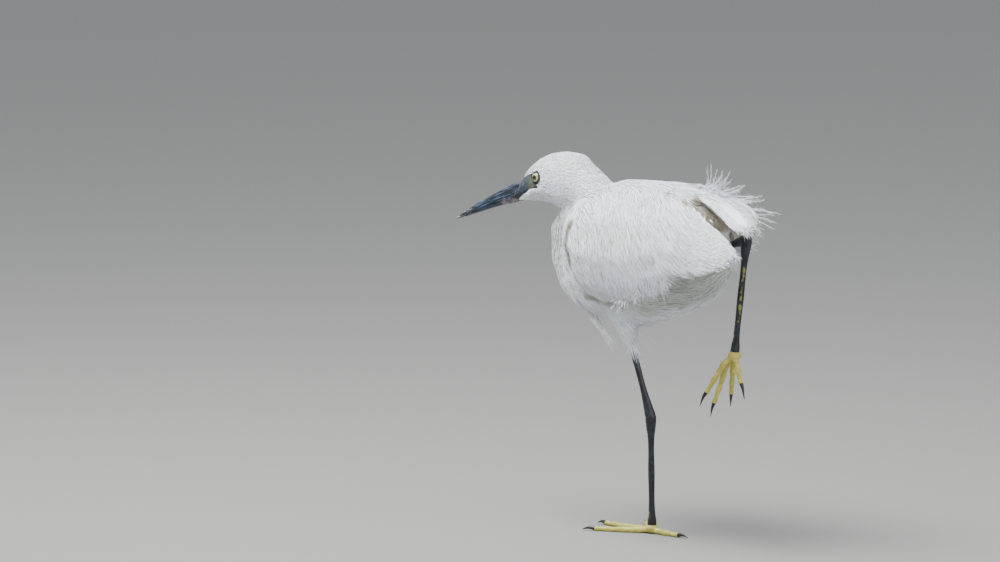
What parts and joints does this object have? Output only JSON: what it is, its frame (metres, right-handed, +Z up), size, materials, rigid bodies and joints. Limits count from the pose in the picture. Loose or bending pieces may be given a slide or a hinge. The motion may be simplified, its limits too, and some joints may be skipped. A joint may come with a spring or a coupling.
{
  "type": "animal_model",
  "caption": "Life-size still model of a little egret stalking, white plumage, folded neck, dark dagger bill, black legs, yellow feet, the right leg lifted behind",
  "frame": {"origin": "on the floor, under the joint of the standing left foot's toes", "axes": "+X the bird's left, -Y the way the body faces, +Z up"},
  "size_m": [0.1083, 0.3781, 0.334],
  "materials": {
    "plumage": "matte",
    "under_plumage": "matte",
    "bill": "satin",
    "eye": "gloss",
    "leg_skin": "satin",
    "foot_skin": "satin",
    "claw": "satin"
  },
  "bodies": {
    "root": {"head": "plumage", "bill_upper": "bill", "bill_lower": "bill", "eye_left": "eye", "eye_right": "eye", "neck_upper": "plumage", "neck_lower": "plumage", "breast": "plumage", "trunk": "plumage", "rump": "under_plumage", "tail": "plumage", "wing_left_coverts": "plumage", "wing_left_secondaries": "plumage", "wing_left_primaries": "plumage", "wing_right_coverts": "plumage", "wing_right_secondaries": "plumage", "wing_right_primaries": "plumage", "thigh_left": "plumage", "shin_left": "leg_skin", "shank_left": "leg_skin", "foot_left": "foot_skin", "toe_left_middle": "foot_skin", "toe_left_inner": "foot_skin", "toe_left_outer": "foot_skin", "toe_left_hind": "foot_skin", "claw_left_middle": "claw", "claw_left_inner": "claw", "claw_left_outer": "claw", "claw_left_hind": "claw", "thigh_right": "plumage", "shin_right": "leg_skin", "shank_right": "leg_skin", "foot_right": "foot_skin", "toe_right_middle": "foot_skin", "toe_right_inner": "foot_skin", "toe_right_outer": "foot_skin", "toe_right_hind": "foot_skin", "claw_right_middle": "claw", "claw_right_inner": "claw", "claw_right_outer": "claw", "claw_right_hind": "claw", "plumes_front": "plumage", "plumes_middle": "plumage", "plumes_rear": "plumage", "plumes_breast": "plumage"}
  },
  "joints": []
}
